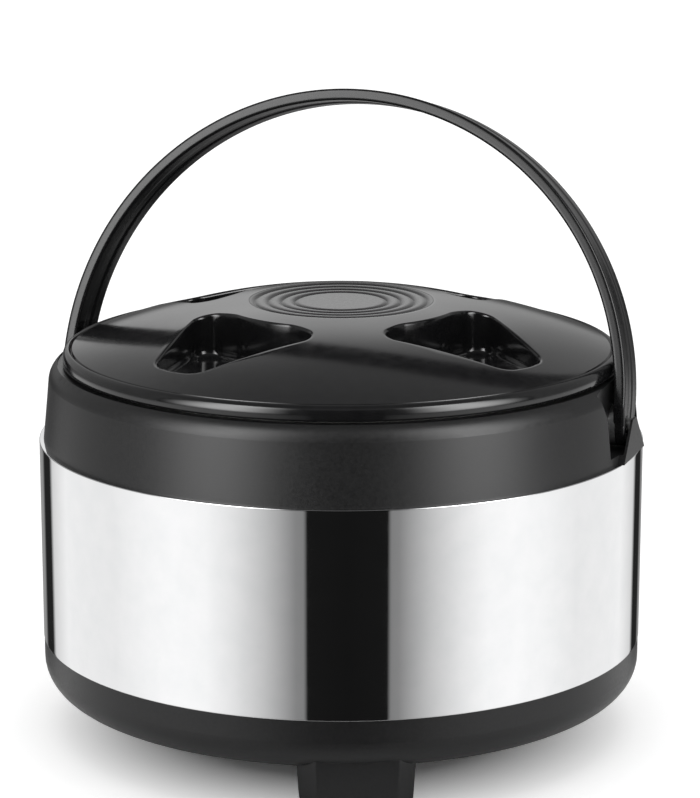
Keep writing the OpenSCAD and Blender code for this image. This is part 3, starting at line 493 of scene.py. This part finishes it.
medal_black = finish("medallion_plastic", [(0.016, 0.016, 0.0165), (0.021, 0.021, 0.0215)],
                     roughness=(0.20, 0.26), spots=1.5, bump=0.004)
medallion = piece("ringed_medallion", [(lathe(medallion_outline(), ROUND[::MEDAL_SKIP]), True)], sharp=50)
dress(medallion, medal_black, "lid", "black_gloss", "lid_medallion")


# Studio: a white paper floor and a wide soft light from above. Polished surfaces also see a tall soft box on each
# side, white walls with a dark gap towards the camera, a glow at the back, and the floor close to the object.
FLOOR_HALF, FLOOR_NEAR, FLOOR_GAIN = 12.0, (0.135, 0.18), 1.5
# The floor's first pair of radii below is where painted light starts: white, mixed in for the camera, lightens the
# object's shadow on the floor up to the share after it.
FLOOR_SHADE_LIFT, FLOOR_WHITE, FLOOR_CLOUDS, FLOOR_STOPS = (0.07, 0.115), 0.5, 25, [(0.3, 0.92), (0.7, 0.94)]
CAMERA_TURN, CAMERA_RISE, CAMERA_AWAY, CAMERA_LENS = 19.0, 13.32, 1.164, 131.65
CAMERA_AIM, CAMERA_SHIFT, CAMERA_SENSOR = Vector((0, 0, 0.1281)), (0.01103, 0.01378), 36.0
GAP_TURN, BOX_TURN, BOX_AWAY, BOX_SIZE, BOX_POWER = 21.3, 48.0, 1.0, (1.1, 1.4), 8.6
BOX_STEPS, BOX_FLAT = 33, 10
WALL_STOPS = [(0, 0.01), (14.9, 0.012), (15.9, 0.30), (19, 0.33), (22, 0.44), (31, 0.76), (43, 1.12), (54, 1.35),
              (67, 1.39), (80, 1.33), (97, 1.18), (130, 1.21), (144, 0.85), (147.5, 0.02), (157, 0.02), (161, 0.3),
              (180, 0.4)]
WALL_FADE, WALL_LEFT, DEEP_FADE, DEEP_LEFT = (-0.21, -0.14), 0.3, (-0.5, -0.36), 0.6
SKY_STOPS = [(0, 0.42), (0.57, 0.42), (0.69, 0.33), (0.81, 0.25), (1, 0.1)]
GLOW_STOPS = [(0, 0.08), (0.05, 0.18), (0.15, 0.38), (0.23, 0.53), (0.31, 0.8), (0.5, 0.88), (0.545, 0.68), (0.6, 0.3),
              (0.65, 0.1), (0.7, 0)]
GLOW_WIDE = [(0, 0), (162, 0.03), (166, 0.15), (170, 0.6), (175, 1), (180, 1)]
BACK_FADE, LEVEL_FADE, TOP_FADE = (0.5, 0.75), (-0.02, 0.06), (0.55, 0.8)
AROUND, TOP_POWER, TOP_SPREAD = 0.8, 0.6, 40


def toned(nodes, stops, most):
    """A ramp through grey levels, given as (place, level) with the last place worth most."""
    ramp = nodes.new("ShaderNodeValToRGB")
    held = ramp.color_ramp.elements
    while len(held) < len(stops):
        held.new(0.5)
    for stop, (at, level) in zip(held, stops):
        stop.position, stop.color = at / most, (level, level, level, 1)
    return ramp


def figure(nodes, links, sort, first, second):
    """A Math node fed by two values, each a number or another node's output."""
    made = nodes.new("ShaderNodeMath")
    made.operation = sort
    for socket, value in zip(made.inputs, (first, second)):
        if isinstance(value, (int, float)):
            socket.default_value = value
        else:
            links.new(value, socket)
    return made.outputs["Value"]


def aimed(turn, rise):
    """The direction with a given turn and rise in degrees, counted as the camera's are."""
    a, e = np.radians([turn, rise])
    return Vector((np.sin(a) * np.cos(e), -np.cos(a) * np.cos(e), np.sin(e)))


def studio_world():
    """Light by direction. Polished surfaces see walls by the turn from the gap's middle, which dim from a little below
    the horizon upwards, and again far below it. At the back and overhead these blend into a sky by height, plus a glow
    by height times turn. The camera sees white, and other rays a plain grey level."""
    world = bpy.data.worlds.new("studio")
    bpy.context.scene.world = world
    world.use_nodes = True
    nodes, links = world.node_tree.nodes, world.node_tree.links
    sky = nodes["Background"]
    way = nodes.new("ShaderNodeTexCoord")
    spin = nodes.new("ShaderNodeVectorRotate")
    spin.rotation_type = "Z_AXIS"
    spin.inputs["Angle"].default_value = np.radians(90 - GAP_TURN)
    links.new(way.outputs["Generated"], spin.inputs["Vector"])
    wheel = nodes.new("ShaderNodeTexGradient")
    wheel.gradient_type = "RADIAL"
    links.new(spin.outputs["Vector"], wheel.inputs["Vector"])
    off = figure(nodes, links, "SUBTRACT", wheel.outputs["Fac"], 0.5)
    off = figure(nodes, links, "MULTIPLY", figure(nodes, links, "ABSOLUTE", off, 0.0), 2.0)
    wall = toned(nodes, WALL_STOPS, 180)
    links.new(off, wall.inputs["Fac"])
    parts = nodes.new("ShaderNodeSeparateXYZ")
    links.new(way.outputs["Generated"], parts.inputs["Vector"])
    fade = nodes.new("ShaderNodeMapRange")
    fade.inputs["From Min"].default_value, fade.inputs["From Max"].default_value = WALL_FADE
    fade.inputs["To Min"].default_value, fade.inputs["To Max"].default_value = 1, WALL_LEFT
    links.new(parts.outputs["Z"], fade.inputs["Value"])
    deep = nodes.new("ShaderNodeMapRange")
    deep.inputs["From Min"].default_value, deep.inputs["From Max"].default_value = DEEP_FADE
    deep.inputs["To Min"].default_value = DEEP_LEFT
    links.new(parts.outputs["Z"], deep.inputs["Value"])
    faded = nodes.new("ShaderNodeVectorMath")
    faded.operation = "SCALE"
    links.new(wall.outputs["Color"], faded.inputs["Vector"])
    links.new(figure(nodes, links, "MULTIPLY", fade.outputs["Result"], deep.outputs["Result"]), faded.inputs["Scale"])
    sky_high, glow_high = toned(nodes, SKY_STOPS, 1), toned(nodes, GLOW_STOPS, 1)
    glow_side = toned(nodes, GLOW_WIDE, 180)
    links.new(parts.outputs["Z"], sky_high.inputs["Fac"])
    links.new(parts.outputs["Z"], glow_high.inputs["Fac"])
    links.new(off, glow_side.inputs["Fac"])
    glow = nodes.new("ShaderNodeVectorMath")
    glow.operation = "MULTIPLY_ADD"
    links.new(glow_high.outputs["Color"], glow.inputs[0])
    links.new(glow_side.outputs["Color"], glow.inputs[1])
    links.new(sky_high.outputs["Color"], glow.inputs[2])
    behind = nodes.new("ShaderNodeMapRange")
    behind.interpolation_type = "SMOOTHSTEP"
    behind.inputs["From Min"].default_value, behind.inputs["From Max"].default_value = BACK_FADE
    links.new(off, behind.inputs["Value"])
    above = nodes.new("ShaderNodeMapRange")
    above.inputs["From Min"].default_value, above.inputs["From Max"].default_value = LEVEL_FADE
    links.new(parts.outputs["Z"], above.inputs["Value"])
    top = nodes.new("ShaderNodeMapRange")
    top.interpolation_type = "SMOOTHSTEP"
    top.inputs["From Min"].default_value, top.inputs["From Max"].default_value = TOP_FADE
    links.new(parts.outputs["Z"], top.inputs["Value"])
    share = figure(nodes, links, "MULTIPLY", behind.outputs["Result"], above.outputs["Result"])
    share = figure(nodes, links, "MAXIMUM", share, top.outputs["Result"])
    seen = nodes.new("ShaderNodeMix")
    seen.data_type = "RGBA"
    links.new(share, seen.inputs["Factor"])
    links.new(faded.outputs["Vector"], seen.inputs["A"])
    links.new(glow.outputs["Vector"], seen.inputs["B"])
    ray = nodes.new("ShaderNodeLightPath")
    lit = nodes.new("ShaderNodeMix")
    lit.data_type = "RGBA"
    lit.inputs["A"].default_value = (AROUND, AROUND, AROUND, 1)
    links.new(ray.outputs["Is Glossy Ray"], lit.inputs["Factor"])
    links.new(seen.outputs["Result"], lit.inputs["B"])
    shown = nodes.new("ShaderNodeMix")
    shown.data_type = "RGBA"
    shown.inputs["B"].default_value = (1, 1, 1, 1)
    links.new(ray.outputs["Is Camera Ray"], shown.inputs["Factor"])
    links.new(lit.outputs["Result"], shown.inputs["A"])
    links.new(shown.outputs["Result"], sky.inputs["Color"])


def floor_surface():
    """White paper whose paleness wanders in wide clouds. The camera sees it brighter by a gain, and mixed with
    white away from the object's middle: painted light that lightens the object's shadow on the floor there.
    Polished surfaces see it out to a little beyond the object, where it lies in shadow, and through it to the
    walls' light further off."""
    made = bpy.data.materials.new("white_floor")
    made.use_nodes = True
    nodes, links = made.node_tree.nodes, made.node_tree.links
    place, ray = nodes.new("ShaderNodeTexCoord"), nodes.new("ShaderNodeLightPath")
    cloud = nodes.new("ShaderNodeTexNoise")
    cloud.inputs["Scale"].default_value = FLOOR_CLOUDS
    links.new(place.outputs["Object"], cloud.inputs["Vector"])
    paper, shown = toned(nodes, FLOOR_STOPS, 1), nodes.new("ShaderNodeVectorMath")
    links.new(cloud.outputs["Fac"], paper.inputs["Fac"])
    shown.operation = "SCALE"
    gain = figure(nodes, links, "MULTIPLY", ray.outputs["Is Camera Ray"], FLOOR_GAIN - 1)
    links.new(paper.outputs["Color"], shown.inputs["Vector"])
    links.new(figure(nodes, links, "ADD", gain, 1.0), shown.inputs["Scale"])
    matt, through = nodes.new("ShaderNodeBsdfDiffuse"), nodes.new("ShaderNodeBsdfTransparent")
    links.new(shown.outputs["Vector"], matt.inputs["Color"])
    away, beyond = nodes.new("ShaderNodeVectorMath"), nodes.new("ShaderNodeMapRange")
    away.operation = "LENGTH"
    links.new(place.outputs["Object"], away.inputs[0])
    beyond.inputs["From Min"].default_value, beyond.inputs["From Max"].default_value = FLOOR_NEAR
    links.new(away.outputs["Value"], beyond.inputs["Value"])
    # Painted light: from a little outside the object's middle outwards, the camera sees white mixed in, which lightens
    # the object's shadow on the floor.
    shade_lift, white, seen = (nodes.new("ShaderNode" + sort) for sort in ("MapRange", "Emission", "MixShader"))
    shade_lift.inputs["From Min"].default_value, shade_lift.inputs["From Max"].default_value = FLOOR_SHADE_LIFT
    shade_lift.inputs["To Max"].default_value = FLOOR_WHITE
    links.new(away.outputs["Value"], shade_lift.inputs["Value"])
    share = figure(nodes, links, "MULTIPLY", shade_lift.outputs["Result"], ray.outputs["Is Camera Ray"])
    links.new(share, seen.inputs["Fac"])
    links.new(matt.outputs["BSDF"], seen.inputs[1])
    links.new(white.outputs["Emission"], seen.inputs[2])
    both = nodes.new("ShaderNodeMixShader")
    share = figure(nodes, links, "MULTIPLY", beyond.outputs["Result"], ray.outputs["Is Glossy Ray"])
    links.new(share, both.inputs["Fac"])
    links.new(seen.outputs["Shader"], both.inputs[1])
    links.new(through.outputs["BSDF"], both.inputs[2])
    links.new(both.outputs["Shader"], nodes["Material Output"].inputs["Surface"])
    return made


def soft_panel(name, turn):
    """An upright sheet facing the pot, with the share of light that each point gives: the squared cosine across its
    width, times 1 - height ** power, both counted from -1 to 1."""
    u, v = np.meshgrid(np.linspace(-1, 1, BOX_STEPS), np.linspace(-1, 1, BOX_STEPS))
    middle = np.array(BOX_AWAY * aimed(turn, 0)) + [0, 0, BOX_SIZE[1] / 2]
    across, up = BOX_SIZE[0] / 2 * np.array(aimed(turn + 90, 0)), [0, 0, BOX_SIZE[1] / 2]
    panel = piece(name, [((middle + u[..., None] * across + v[..., None] * up) / MM, False)])
    level = panel.data.attributes.new("level", "FLOAT", "POINT")
    level.data.foreach_set("value", (np.cos(np.pi * u / 2) ** 2 * (1 - v**BOX_FLAT)).ravel())
    return panel


def panel_surface():
    """Light given off by a soft box's cloth, by the share that each point holds."""
    made = bpy.data.materials.new("soft_box_cloth")
    made.use_nodes = True
    nodes, links = made.node_tree.nodes, made.node_tree.links
    level, light = nodes.new("ShaderNodeAttribute"), nodes.new("ShaderNodeEmission")
    level.attribute_name = "level"
    links.new(figure(nodes, links, "MULTIPLY", level.outputs["Fac"], BOX_POWER), light.inputs["Strength"])
    links.new(light.outputs["Emission"], nodes["Material Output"].inputs["Surface"])
    return made


studio_world()
side = np.linspace(-FLOOR_HALF, FLOOR_HALF, 3) / MM
floor = piece("studio_floor", [(np.stack([*np.meshgrid(side, side), np.zeros((3, 3))], -1), False)])
floor.data.materials.append(floor_surface())

lamp = bpy.data.lights.new("soft_top_light", "SUN")
lamp.energy, lamp.angle = TOP_POWER, np.radians(TOP_SPREAD)
top_light = bpy.data.objects.new("soft_top_light", lamp)
top_light.visible_glossy = False
bpy.context.collection.objects.link(top_light)
panel_light = panel_surface()
for name, turn in (("soft_box_left", GAP_TURN - BOX_TURN), ("soft_box_right", GAP_TURN + BOX_TURN)):
    panel = soft_panel(name, turn)
    panel.data.materials.append(panel_light)
    panel.visible_camera = panel.visible_diffuse = panel.visible_shadow = False

camera = bpy.data.objects.new("camera", bpy.data.cameras.new("camera"))
camera.data.lens, camera.data.sensor_width = CAMERA_LENS, CAMERA_SENSOR
camera.data.shift_x, camera.data.shift_y = CAMERA_SHIFT
toward = aimed(CAMERA_TURN, CAMERA_RISE)
camera.location = CAMERA_AIM + CAMERA_AWAY * toward
camera.rotation_euler = (-toward).to_track_quat("-Z", "Y").to_euler()
bpy.context.collection.objects.link(camera)
bpy.context.scene.camera = camera
bpy.context.scene.view_settings.view_transform = "Standard"
